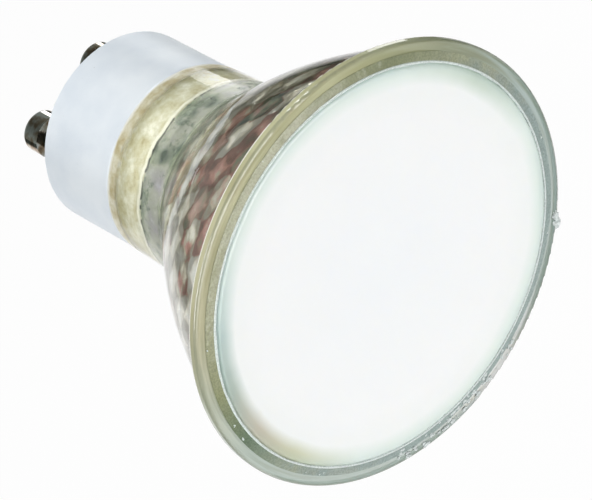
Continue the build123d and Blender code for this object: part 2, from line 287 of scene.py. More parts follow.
@dataclass(frozen=True)
class CoatedPressedGlass:
    """Pressed borosilicate glass with an evaporated dichroic mirror on its facets.

    Fire polishing leaves the outside glossy and softly wavy, and the coat shows through it as a dark
    mirror that jumps between green, olive, mauve and silver from facet to facet, with painted shade
    in the creases between facets and over the bowl's top. The same coat lies thinly on the flange,
    which looks olive, and as a silvery mist and frost on the neck. A painted highlight runs as a
    pale line round the flange's back edge, and golden cement shows where the glass is wetted by it.

    Attributes:
        bore_slack: How far the bore's wall may stand off the cement plug.
        wall: How far off the plug the neck's outside begins.
        lip_span: Where the cement's lip lies, from the front of its plug.
        slit_depth: The share of the lip that the slit of painted shade takes.
        slit_break: The noise below which that painted shade is broken.
        smear_span: Where the smear starts and is full, from the base's front.
    """

    facets: MirrorFacets = MirrorFacets()
    cast: str = "#D5D8BE"
    cast_density: float = 28.0
    crease: float = 0.7 * MM
    film_depth: float = 0.9 * MM
    corner_span: Span = (0.45 * MM, 0.1 * MM)
    # painted highlight: where the pale line round the flange's back edge lies
    highlight_depths: Span = (0.86 * MM, 1.35 * MM)
    highlight_width: float = 0.35 * MM
    bore_slack: float = 0.12 * MM
    wall: float = 0.5 * MM
    ragged_edge: float = 0.9 * MM
    wet_lead: float = 0.45 * MM
    lip_span: Span = (-0.5 * MM, 1.5 * MM)
    slit_depth: float = 0.16
    slit_break: float = 0.49
    smear_span: Span = (-1.7 * MM, -0.8 * MM)
    joint_width: float = 0.3 * MM
    streaks: float = 14.0
    streak_mm: float = 0.7
    streak_tones: Stops = ((0.35, "#D2D0BC"), (0.6, "#FFFFFF"))
    coat_colors: Stops = (
        (0.22, "#5C6A60"), (0.30, "#8F9684"), (0.37, "#B08D88"), (0.45, "#D3A5A1"), (0.50, "#D2CFC4"),
        (0.56, "#F2F0EA"), (0.62, "#FFFFFF"))
    # painted shade: tints that darken the coat over the bowl's top, from upper left to upper right
    coat_shade_by_side: Stops = (
        (0.40, "#FFFFFF"), (0.56, "#C4C2B8"), (0.64, "#858C7E"), (0.80, "#858C7E"), (0.95, "#FFFFFF"))
    # painted shade: tints that darken the colour towards the creases between facets
    crease_shade_colors: Stops = ((0.40, "#FFFFFF"), (0.60, "#EDE6DD"), (0.70, "#8C8478"), (0.85, "#6A665C"))
    film_colors: Stops = (
        (0.0, "#FBFCFC"), (0.05, "#B4C6C2"), (0.24, "#B2C2B6"), (0.36, "#CFCBA8"), (0.56, "#CCCCA2"),
        (0.66, "#8F9670"), (0.76, "#9FB3AD"), (0.92, "#A3B6B0"), (0.97, "#FBFCFC"))
    film_cover: Stops = ((0.0, "#D0D0D0"), (0.30, "#F2F2F2"), (0.70, "#F2F2F2"), (0.95, "#D0D0D0"))
    mist_colors: Stops = (
        (0.32, "#4A574C"), (0.42, "#98A08F"), (0.52, "#C2C6B6"), (0.62, "#CBC9CE"), (0.75, "#F2F3EE"))
    patch_colors: Stops = ((0.38, "#6F817C"), (0.45, "#CBD4C8"), (0.52, "#FFFFF6"), (0.64, "#F1EDF8"))
    lip_colors: Stops = ((0.10, "#2B2A22"), (0.17, "#FFFFFF"), (0.30, "#FFFFFF"), (0.42, "#000000"))
    cement_colors: Stops = ((0.30, "#B1A784"), (0.42, "#CAC5A8"), (0.54, "#DAD8C8"), (0.68, "#F6F5EE"))
    smear_colors: Stops = ((0.36, "#BFB189"), (0.5, "#D3CCAA"), (0.64, "#ECE9D6"))
    frost_colors: Stops = ((0.34, "#96A296"), (0.45, "#DCE0D4"), (0.58, "#E5E6DE"), (0.7, "#FFFFFF"))

    def on_facets(self, spot: GlassSpot) -> Socket:
        """Finds the facets: down a paraboloid the radius squared falls evenly with depth.

        Args:
            spot: Where the point lies.

        Returns:
            1 on the facets and 0 elsewhere.
        """
        add, shape = spot.recipe.add, self.facets
        squared = add("MapRange", {
            "Value": spot.share, "To Min": shape.mouth_radius ** 2, "To Max": shape.throat_radius ** 2})
        facet_radius = add("Math", {0: squared}, operation="SQRT")
        slack_radius = add("Math", {0: facet_radius, 1: shape.corner_slack}, operation="ADD")
        inside = add("Math", {0: spot.radius, 1: slack_radius}, operation="LESS_THAN")
        behind_mouth = add("Math", {0: spot.share, 1: shape.end_slack}, operation="GREATER_THAN")
        before_throat = add("Math", {0: spot.share, 1: 1 - shape.end_slack}, operation="LESS_THAN")
        in_depth = add("Math", {0: behind_mouth, 1: before_throat}, operation="MULTIPLY")
        return add("Math", {0: inside, 1: in_depth}, operation="MULTIPLY")

    def coat(self, spot: GlassSpot) -> Socket:
        """Makes the mirror: soft-edged facets a little out of true, as the press leaves them.

        The colour carries painted shade in the creases between facets and over the bowl's top.

        Args:
            spot: Where the point lies.

        Returns:
            The coat's shader.
        """
        add, shape, place = spot.recipe.add, self.facets, spot.place
        x, z = (add("SeparateXYZ", {0: place}, axis) for axis in "XZ")
        angle = add("Math", {0: x, 1: z}, operation="ARCTAN2")
        column = add("Math", {0: angle, 1: shape.columns / math.tau, 2: shape.column_shift},
                     operation="MULTIPLY_ADD")
        ring = add("Math", {0: spot.share, 1: float(shape.rings)}, operation="MULTIPLY")
        staggered = add("Math", {0: ring, 1: 0.5, 2: column}, operation="MULTIPLY_ADD")
        grid = add("CombineXYZ", {0: staggered, 1: ring})
        warp = add("TexNoise", {"Vector": place, "Scale": per(4.0), "Detail": 2.0}, "Color")
        bent = add("VectorMath", {0: warp, 1: (0.5, 0.5, 0.0), 2: grid}, operation="MULTIPLY_ADD")
        chance, dome = (add("TexVoronoi", {
            "Vector": bent, "Scale": 1.0, "Smoothness": 0.22, "Randomness": 0.35}, out,
            feature="SMOOTH_F1", voronoi_dimensions="2D", distance="MANHATTAN")
            for out in ("Color", "Distance"))
        pick = add("SeparateXYZ", {0: chance}, "X")
        glint = add("SeparateXYZ", {0: chance}, "Y")
        cloud = add("TexNoise", {"Vector": place, "Scale": per(2.4), "Detail": 5.0})
        tone = add("Mix", {0: 0.6, 2: pick, 3: cloud})
        wavy = add("TexNoise", {"Vector": place, "Scale": per(1.4), "Detail": 2.0})
        relief = add("Math", {0: wavy, 1: 0.4, 2: dome}, operation="MULTIPLY_ADD")
        creased = add("Bump", {"Strength": 1.0, "Distance": self.crease, "Height": relief})
        pale = add("MapRange", {"Value": glint, "From Min": 0.55, "From Max": 0.85, "To Max": 0.6})
        color = add("Mix", {
            0: pale, 6: add("ValToRGB", {0: tone}, stops=self.coat_colors),
            7: linear("#E9E6DE")}, 2, data_type="RGBA")
        # painted shade: the colour darkens towards the creases between facets
        outline = add("Math", {0: wavy, 1: 0.35, 2: dome}, operation="MULTIPLY_ADD")
        crease_shaded = spot.recipe.shade(0.6, color, outline, self.crease_shade_colors)
        # painted shade: the coat's colour is darkened over the bowl's top
        shaded_on_top = spot.recipe.shade(1.0, crease_shaded, spot.side, self.coat_shade_by_side)
        return add("BsdfPrincipled", {
            "Base Color": shaded_on_top, "Metallic": 0.45, "Roughness": 0.10, "Normal": creased})

    def clear_body(self, spot: GlassSpot) -> Socket:
        """Makes the glass itself: glossy, wavy and open to the lamps' light.

        Args:
            spot: Where the point lies.

        Returns:
            The glass's shader.
        """
        add = spot.recipe.add
        clear = add("BsdfPrincipled", {
            "Base Color": (1.0, 1.0, 1.0, 1.0), "Roughness": 0.02, "IOR": 1.47,
            "Transmission Weight": 1.0, "Normal": spot.waves})
        open_glass = add("BsdfTransparent", {0: linear("#EDEFE4")})
        return add("MixShader", {0: spot.shadow, 1: clear, 2: open_glass})

    def film(self, spot: GlassSpot) -> Layer:
        """Makes the olive film on the flange, drawn out round the rim and thin on one side of it.

        Args:
            spot: Where the point lies.

        Returns:
            The film's share and its shader.
        """
        add = spot.recipe.add
        sweep = add("CombineXYZ", {
            0: add("Math", {0: spot.side, 1: self.streaks}, operation="MULTIPLY"),
            1: add("Math", {0: spot.radius, 1: per(self.streak_mm)}, operation="MULTIPLY")})
        streak = add("TexNoise", {"Vector": sweep, "Scale": 1.5, "Detail": 6.0})
        where = add("Math", {0: streak, 1: 0.10, 2: add(
            "Math", {0: spot.side, 1: 0.05}, operation="SUBTRACT")}, operation="MULTIPLY_ADD")
        mottled = spot.recipe.shade(0.6, add("ValToRGB", {0: where}, stops=self.film_colors), streak,
                                    self.streak_tones)
        corner = add("MapRange", {
            "Value": spot.radius, "From Min": RIM_RADIUS - self.corner_span[0],
            "From Max": RIM_RADIUS - self.corner_span[1]})
        front_corner = add("MapRange", {
            "Value": spot.depth, "From Min": 0.25 * MM, "From Max": 0.4 * MM,
            "To Min": 0.6, "To Max": 0.0})
        edged = add("Mix", {
            0: add("Math", {0: corner, 1: front_corner}, operation="MULTIPLY"),
            6: mottled, 7: linear("#868A78")}, 2, data_type="RGBA")
        shader = add("BsdfPrincipled", {
            "Base Color": edged, "Roughness": 0.3, "Coat Weight": 1.0, "Normal": spot.waves})
        on_front = add("Math", {0: spot.depth, 1: self.film_depth}, operation="LESS_THAN")
        cover = add("ValToRGB", {0: where}, stops=self.film_cover)
        return add("Math", {0: on_front, 1: cover}, operation="MULTIPLY"), shader

    def edge_highlight(self, spot: GlassSpot) -> Layer:
        """Makes a painted highlight: a crisp pale line round the flange's back edge.

        Args:
            spot: Where the point lies.

        Returns:
            The highlight's share and its shader.
        """
        add = spot.recipe.add
        near_back = add("Math", {0: spot.depth, 1: self.highlight_depths[0]}, operation="GREATER_THAN")
        before_bowl = add("Math", {0: spot.depth, 1: self.highlight_depths[1]}, operation="LESS_THAN")
        on_edge = add("Math", {0: spot.radius, 1: RIM_RADIUS - self.highlight_width},
                      operation="GREATER_THAN")
        share = add("Math", {
            0: add("Math", {0: near_back, 1: before_bowl}, operation="MULTIPLY"),
            1: add("Math", {0: on_edge, 1: 0.9}, operation="MULTIPLY")}, operation="MULTIPLY")
        # painted highlight: the flange's back edge is coloured near white
        return share, add("BsdfPrincipled", {"Base Color": linear("#FBFAF2"), "Roughness": 0.25})

    def silvered(self, spot: GlassSpot, colors: Stops, metallic: float, roughness: float) -> Socket:
        """Makes a patchy silvery deposit of stray mirror coat.

        Args:
            spot: Where the point lies.
            colors: The colours of its blotches.
            metallic: How metallic it is.
            roughness: How rough it is.

        Returns:
            The deposit's shader.
        """
        add = spot.recipe.add
        patch = add("TexNoise", {"Vector": spot.place, "Scale": per(5.0), "Detail": 3.0})
        color = spot.recipe.shade(0.9, add("ValToRGB", {0: spot.blotch}, stops=colors), patch,
                                  self.patch_colors)
        return add("BsdfPrincipled", {
            "Base Color": color, "Metallic": metallic, "Roughness": roughness, "Normal": spot.rough})

    def in_bore(self, spot: GlassSpot) -> Socket:
        """Tells the walls of the bore and of the air gap from the neck's outside."""
        return spot.recipe.add("Math", {0: spot.radius, 1: PLUG_RADIUS + self.bore_slack},
                               operation="LESS_THAN")

    def frost(self, spot: GlassSpot) -> Layer:
        """Makes the frost on the neck's outside, from the bowl's root to past the air gap.

        Args:
            spot: Where the point lies.

        Returns:
            The frost's share and its shader.
        """
        add = spot.recipe.add
        from_root = add("MapRange", {"Value": spot.share, "From Min": 0.90, "From Max": 0.96})
        to_wall = add("MapRange", {
            "Value": spot.share, "From Min": 1.13, "From Max": 1.05, "To Max": 0.72})
        length = add("Math", {0: from_root, 1: to_wall}, operation="MULTIPLY")
        share = add("Math", {0: length, 1: spot.seen_outside}, operation="MULTIPLY")
        return share, self.silvered(spot, self.frost_colors, 0.3, 0.25)

    def cement(self, spot: GlassSpot) -> Layer:
        """Makes the cement that wets bore and spigot, with a pale lip and a slit of painted shade.

        Args:
            spot: Where the point lies.

        Returns:
            The cement's share and its shader.
        """
        add = spot.recipe.add
        past_lip = add("MapRange", {
            "Value": spot.frayed, "From Min": PLUG_FRONT + self.lip_span[0],
            "From Max": PLUG_FRONT + self.lip_span[1]})
        lip = add("ValToRGB", {0: past_lip}, stops=self.lip_colors)
        color = add("Mix", {
            0: lip, 6: add("ValToRGB", {0: spot.blotch}, stops=self.cement_colors),
            7: linear("#FDFBF0")}, 2, data_type="RGBA")
        # painted shade: a dark line is coloured where the slit lies
        slit = add("Math", {0: past_lip, 1: self.slit_depth}, operation="LESS_THAN")
        broken = add("Math", {0: spot.fray, 1: self.slit_break}, operation="GREATER_THAN")
        slit_shade_share = add("Math", {0: slit, 1: broken}, operation="MULTIPLY")
        shader = add("BsdfPrincipled", {
            "Base Color": add("Mix", {0: slit_shade_share, 6: color, 7: linear("#3A3A30")}, 2,
                              data_type="RGBA"),
            "Roughness": 0.7, "Normal": spot.rough})
        at_plug = add("Math", {0: spot.frayed, 1: PLUG_FRONT - self.wet_lead}, operation="GREATER_THAN")
        wet_bore = add("Math", {0: at_plug, 1: self.in_bore(spot)}, operation="MULTIPLY")
        wet_spigot = add("Math", {0: spot.along, 1: BASE_FRONT - 0.1 * MM}, operation="GREATER_THAN")
        return add("Math", {0: wet_bore, 1: wet_spigot}, operation="MAXIMUM"), shader

    def smear(self, spot: GlassSpot) -> Layer:
        """Makes the smear of cement on the neck in front of the base, pale right at the joint.

        Args:
            spot: Where the point lies.

        Returns:
            The smear's share and its shader.
        """
        add = spot.recipe.add
        at_joint = add("MapRange", {
            "Value": spot.frayed, "From Min": BASE_FRONT, "From Max": BASE_FRONT + self.joint_width})
        shader = add("BsdfPrincipled", {
            "Base Color": add("Mix", {
                0: at_joint, 6: add("ValToRGB", {0: spot.blotch}, stops=self.smear_colors),
                7: linear("#F4F3EA")}, 2, data_type="RGBA"),
            "Roughness": 0.25, "Normal": spot.rough})
        joint = add("MapRange", {
            "Value": spot.frayed, "From Min": BASE_FRONT + self.smear_span[0],
            "From Max": BASE_FRONT + self.smear_span[1], "To Max": 0.94})
        return add("Math", {0: joint, 1: spot.seen_outside}, operation="MULTIPLY"), shader

    def build(self) -> bpy.types.Material:
        """Builds the glass, lays each film and deposit on it in turn, and the mirror last.

        Returns:
            The material.
        """
        recipe, place = start("pressed borosilicate glass, fire polished and mirror coated")
        add = recipe.add
        spot = GlassSpot.find(recipe, place, self)
        past_web = add("Math", {0: spot.share, 1: 1.0}, operation="GREATER_THAN")
        behind = add("Math", {0: past_web, 1: self.in_bore(spot)}, operation="MULTIPLY")
        mist = self.silvered(spot, self.mist_colors, 0.2, 0.35)
        throat_end = add("MapRange", {
            "Value": spot.share, "From Min": 0.72, "From Max": 0.95, "To Max": 0.8})
        mirror = add("MixShader", {0: throat_end, 1: self.coat(spot), 2: mist})
        surface = self.clear_body(spot)
        for share, shader in (
                self.film(spot), self.edge_highlight(spot), (behind, mist), self.frost(spot), self.cement(spot),
                self.smear(spot), (self.on_facets(spot), mirror)):
            surface = add("MixShader", {0: share, 1: surface, 2: shader})
        volume = add("VolumeAbsorption", {"Color": linear(self.cast), "Density": self.cast_density})
        return recipe.finish(surface, volume)


@dataclass(frozen=True)
class OpalGlass:
    """Opal sheet glass with a satin etched face.

    It looks evenly white, faintly blue in the middle, and turns pale green towards its cut edge,
    where painted shade gives it khaki and grey tints low on the left and a faint grey on top. The
    etch's pits are drawn coarser than they are, so that they show.
    """

    tones: Stops = (
        (0.0, "#F9FCFF"), (0.76, "#FDFEFE"), (0.90, "#F8FBF9"), (0.96, "#E8F2EC"), (1.0, "#D3E2DC"))
    # painted shade: tints that darken its edge low on the left and faintly on top
    edge_shade_by_side: Stops = (
        (0.13, "#FFFFFF"), (0.20, "#E6DFC7"), (0.25, "#DECFC2"), (0.30, "#CCD1CC"), (0.35, "#DBE3E4"),
        (0.42, "#FFFFFF"), (0.62, "#FFFFFF"), (0.70, "#E6EAE2"), (0.78, "#FFFFFF"))
    edge_span: Span = (0.90, 0.96)
    roughness: float = 0.36

    def build(self) -> bpy.types.Material:
        """Builds the opal glass.

        Returns:
            The material.
        """
        recipe, place = start("opal sheet glass, satin etched")
        add = recipe.add
        across = add("VectorMath", {0: place, 1: (1.0, 0.0, 1.0)}, operation="MULTIPLY")
        radius = add("VectorMath", {0: across}, "Value", operation="LENGTH")
        cloud = add("TexNoise", {"Vector": place, "Scale": per(9.0), "Detail": 3.0})
        share = add("MapRange", {
            "Value": radius, "From Max": GLASS_RADIUS, "To Min": -0.02, "To Max": 0.98}, clamp=False)
        drift = add("Math", {0: cloud, 1: 0.05, 2: share}, operation="MULTIPLY_ADD")
        pits = add("TexNoise", {"Vector": place, "Scale": per(0.12), "Detail": 2.0})
        at_edge = add("MapRange", {
            "Value": drift, "From Min": self.edge_span[0], "From Max": self.edge_span[1]})
        # painted shade: the edge is darkened low on the left and faintly on top
        color = recipe.shade(at_edge, add("ValToRGB", {0: drift}, stops=self.tones),
                             share_of_turn(recipe, place), self.edge_shade_by_side)
        shader = add("BsdfPrincipled", {
            "Base Color": color, "Roughness": self.roughness, "IOR": 1.5, "Subsurface Weight": 0.3,
            "Subsurface Radius": (1.2, 1.3, 1.5), "Subsurface Scale": 0.8 * MM,
            "Normal": add("Bump", {"Strength": 0.1, "Distance": 0.02 * MM, "Height": pits})})
        return recipe.finish(shader)


@dataclass(frozen=True)
class ClearSilicone:
    """Clear silicone: glossy, wavy and slightly milky, with a fine grain of trapped air.

    Attributes:
        shade_by_side: Painted shade round the axis: a green-grey shadow low on the left and a
        fainter one on top.
        shading: How much of that shows.
    """

    name: str = "clear silicone adhesive, nozzle run"
    tints: Stops = ((0.25, "#C6D6D2"), (0.42, "#CFD8CE"), (0.58, "#E2E3CB"), (0.95, "#DADBBB"))
    clearness: float = 0.45
    grain_tones: Stops = ((0.40, "#B4B8B2"), (0.58, "#FFFFFF"))
    # painted shade: tints that darken it low on the left and faintly on top
    shade_by_side: Stops = (
        (0.15, "#FFFFFF"), (0.20, "#E6F0F4"), (0.25, "#A8BEB6"), (0.30, "#DCE0CA"), (0.36, "#FFFFFF"),
        (0.52, "#FFFFFF"), (0.61, "#CFD5C3"), (0.70, "#F2F5EE"), (0.77, "#FFFFFF"))
    thick_side: Triple = (-0.34, 0.0, 0.94)
    waviness: float = 0.8
    shading: float = 1.0

    def build(self) -> bpy.types.Material:
        """Builds the silicone.

        Returns:
            The material.
        """
        recipe, place = start(self.name)
        add = recipe.add
        waves = add("TexNoise", {"Vector": place, "Scale": per(1.5), "Detail": 3.0})
        heavier = add("VectorMath", {0: place, 1: self.thick_side}, "Value", operation="DOT_PRODUCT")
        weight = add("MapRange", {"Value": heavier, "From Min": -RIM_RADIUS, "From Max": RIM_RADIUS})
        cloudy = add("Math", {0: waves, 1: 0.5, 2: add(
            "Math", {0: weight, 1: 0.25}, operation="SUBTRACT")}, operation="MULTIPLY_ADD")
        grain = add("TexNoise", {"Vector": place, "Scale": per(0.22), "Detail": 3.0})
        color = recipe.shade(0.35, add("ValToRGB", {0: cloudy}, stops=self.tints), grain,
                             self.grain_tones)
        # painted shade: darkened low on the left and faintly on top
        shaded = recipe.shade(self.shading, color, share_of_turn(recipe, place), self.shade_by_side)
        shader = add("BsdfPrincipled", {
            "Base Color": shaded, "Roughness": 0.12, "IOR": 1.41,
            "Transmission Weight": self.clearness, "Normal": add("Bump", {
                "Strength": self.waviness, "Distance": 0.25 * MM, "Height": waves})})
        return recipe.finish(shader)


@dataclass(frozen=True)
class SteatiteCeramic:
    """Pressed and fired white steatite: satin, a little cool, with a fine pressed grain.

    The grain is drawn coarser than it is, so that it shows.
    """

    tones: Stops = ((0.35, "#E0E8F0"), (0.65, "#EFF5FA"))
    speck_tones: Stops = ((0.74, "#FFFFFF"), (0.80, "#C9C8C4"))
    roughness: float = 0.42

    def build(self) -> bpy.types.Material:
        """Builds the ceramic.

        Returns:
            The material.
        """
        recipe, place = start("steatite ceramic, pressed and fired")
        add = recipe.add
        cloud = add("TexNoise", {"Vector": place, "Scale": per(7.0), "Detail": 4.0})
        spot = add("TexNoise", {"Vector": place, "Scale": per(0.35), "Detail": 2.0})
        color = recipe.shade(0.5, add("ValToRGB", {0: cloud}, stops=self.tones), spot, self.speck_tones)
        grit = add("TexNoise", {"Vector": place, "Scale": per(0.25), "Detail": 4.0})
        shader = add("BsdfPrincipled", {
            "Base Color": color, "Roughness": self.roughness, "IOR": 1.58,
            "Normal": add("Bump", {"Strength": 0.3, "Distance": 0.05 * MM, "Height": grit})})
        return recipe.finish(shader)


@dataclass(frozen=True)
class BrightNickel:
    """Bright nickel plate on turned brass: a hard mirror with patches of brown stain.

    The turning marks under it are drawn coarser than they are, so that they show.
    """

    stain_tones: Stops = ((0.46, "#E6E4DC"), (0.60, "#B09A80"), (0.76, "#6A5442"))
    turning_mm: float = 0.2

    def build(self) -> bpy.types.Material:
        """Builds the nickel plate.

        Returns:
            The material.
        """
        recipe, place = start("bright nickel plate on turned brass")
        add = recipe.add
        patch = add("TexNoise", {"Vector": place, "Scale": per(1.6), "Detail": 4.0})
        lathe = add("TexWave", {
            "Vector": place, "Scale": per(self.turning_mm) / math.tau, "Distortion": 0.8},
            "Fac", bands_direction="Y")
        shader = add("BsdfPrincipled", {
            "Base Color": add("ValToRGB", {0: patch}, stops=self.stain_tones),
            "Metallic": 1.0, "Roughness": add("MapRange", {
                "Value": patch, "From Min": 0.3, "From Max": 0.8, "To Min": 0.03, "To Max": 0.16}),
            "Normal": add("Bump", {"Strength": 0.08, "Distance": 0.02 * MM, "Height": lathe})})
        return recipe.finish(shader)


@dataclass(frozen=True)
class LampCement:
    """Baked lamp cement, cast against the glass: matt, golden, mottled, with brown specks."""

    name: str = "lamp cement, cast and baked"
    mottle_tones: Stops = ((0.34, "#B79F5C"), (0.46, "#C9BC84"), (0.56, "#DDD7B8"), (0.68, "#F0EDDC"))
    speck_tones: Stops = ((0.66, "#FFFFFF"), (0.72, "#5A4526"))

    def build(self) -> bpy.types.Material:
        """Builds the cement.

        Returns:
            The material.
        """
        recipe, place = start(self.name)
        add = recipe.add
        blotch = add("TexNoise", {"Vector": place, "Scale": per(1.5), "Detail": 7.0, "Roughness": 0.66})
        spot = add("TexNoise", {"Vector": place, "Scale": per(0.5), "Detail": 2.0})
        color = recipe.shade(0.85, add("ValToRGB", {0: blotch}, stops=self.mottle_tones), spot,
                             self.speck_tones)
        shader = add("BsdfPrincipled", {
            "Base Color": color, "Roughness": 0.8, "Normal": add("Bump", {
                "Strength": 0.8, "Distance": 0.15 * MM, "Height": blotch})})
        return recipe.finish(shader)


@dataclass(frozen=True)
class FusedQuartz:
    """Clear blown and pressed quartz: colourless, with faint pressing ripples."""

    def build(self) -> bpy.types.Material:
        """Builds the quartz.

        Returns:
            The material.
        """
        recipe, place = start("fused quartz, blown and pressed")
        ripple = recipe.add("TexNoise", {"Vector": place, "Scale": per(2.0)})
        shader = recipe.add("BsdfPrincipled", {
            "Base Color": linear("#FAFCFD"), "Roughness": 0.01, "IOR": 1.46,
            "Transmission Weight": 1.0, "Normal": recipe.add("Bump", {
                "Strength": 0.3, "Distance": 0.1 * MM, "Height": ripple})})
        return recipe.finish(shader)


@dataclass(frozen=True)
class DrawnMetal:
    """Drawn or rolled metal, whose fine marks spread its highlights.

    The marks are drawn coarser than they are, so that they show.
    """

    name: str
    color: str
    roughness: float
    spread: float = 0.08

    def build(self) -> bpy.types.Material:
        """Builds the metal.

        Returns:
            The material.
        """
        recipe, place = start(self.name)
        marks = recipe.add("TexNoise", {"Vector": place, "Scale": per(0.1)})
        shader = recipe.add("BsdfPrincipled", {
            "Base Color": linear(self.color), "Metallic": 1.0, "Roughness": recipe.add(
                "MapRange", {"Value": marks, "To Min": self.roughness - self.spread,
                             "To Max": self.roughness + self.spread})})
        return recipe.finish(shader)


def dress(node: str, material: bpy.types.Material) -> None:
    """Gives a carried CAD node its finish.

    Args:
        node: The node's name.
        material: The finish for the whole node.
    """
    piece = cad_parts[node]
    piece.data.materials.clear()
    piece.data.materials.append(material)
    LOG.info("%s: %s", node, material.name)


def add_piece(name: str, shape: bmesh.types.BMesh, material: bpy.types.Material) -> None:
    """Adds a new piece that rides on the lamp.

    Args:
        name: The piece's name.
        shape: Its mesh, in metres in the lamp's frame.
        material: Its finish.
    """
    mesh = bpy.data.meshes.new(name)
    bmesh.ops.recalc_face_normals(shape, faces=shape.faces)
    shape.to_mesh(mesh)
    shape.free()
    mesh.materials.append(material)
    mesh.polygons.foreach_set("use_smooth", [True] * len(mesh.polygons))
    piece = bpy.data.objects.new(name, mesh)
    bpy.context.scene.collection.objects.link(piece)
    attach(piece, BODY)
    LOG.info("%s: %d faces, %s", name, len(mesh.polygons), material.name)


def round_rim(angle: float, radius: float, y: float) -> Vector:
    """Gives a point on a circle about the lamp's axis.

    Args:
        angle: Degrees from +X towards +Z.
        radius: The circle's radius.
        y: Its place along the axis.

    Returns:
        The point.
    """
    turn = math.radians(angle)
    return Vector((radius * math.cos(turn), y, radius * math.sin(turn)))


def add_lump(shape: bmesh.types.BMesh, centre: Vector, size: Vector, angle: float,
             unevenness: float) -> None:
    """Adds one uneven rounded lump to a mesh.

    Args:
        shape: The mesh that gets the lump.
        centre: The lump's middle.
        size: Its half sizes: outwards, along the axis, and round the axis.
        angle: The direction of outwards, in degrees from +X towards +Z.
        unevenness: How far its surface strays, as a share of its size.
    """
    made = bmesh.ops.create_icosphere(shape, subdivisions=3, radius=1.0)["verts"]
    turn = Matrix.Rotation(-math.radians(angle), 3, "Y")
    for vert in made:
        stray = 1 + unevenness * noise.noise(vert.co * 1.7 + centre / MM)
        vert.co = centre + turn @ Vector(a * b * stray for a, b in zip(vert.co, size))


def add_ring(shape: bmesh.types.BMesh, radius: float, y: float, tube: float, wander: float,
             steps: int = 240, sides: int = 12) -> None:
    """Adds one uneven ring about the lamp's axis to a mesh.

    Args:
        shape: The mesh that gets the ring.
        radius: The ring's outer radius.
        y: Its place along the axis.
        tube: The mean radius of its section, which swells and thins by up to half.
        wander: How far it strays along the axis.
        steps: Number of sections round the axis.
        sides: Number of corners of one section.
    """
    rings = []
    for step in range(steps):
        angle = 360 * step / steps
        about = round_rim(angle, 1.0, 0.0)
        swell = 0.3 * noise.noise(about * 9)
        ripple = 0.2 * noise.noise(about * 31)
        around = tube * (1 + swell + ripple)
        middle_y = y + wander * noise.noise(about * 4)
        rings.append([shape.verts.new(round_rim(
            angle, radius - around + around * math.cos(lean), middle_y + around * math.sin(lean)))
            for lean in (math.tau * side / sides for side in range(sides))])
    for ring, after in zip(rings, rings[1:] + rings[:1]):
        for side in range(sides):
            near = (side + 1) % sides
            shape.faces.new((ring[side], ring[near], after[near], after[side]))


@dataclass
class Reflector:
    """The pressed glass bowl, neck and spigot with its mirror coat."""

    finish: CoatedPressedGlass = CoatedPressedGlass()

    def build(self) -> None:
        """Dresses the glass."""
        dress("glass_reflector", self.finish.build())


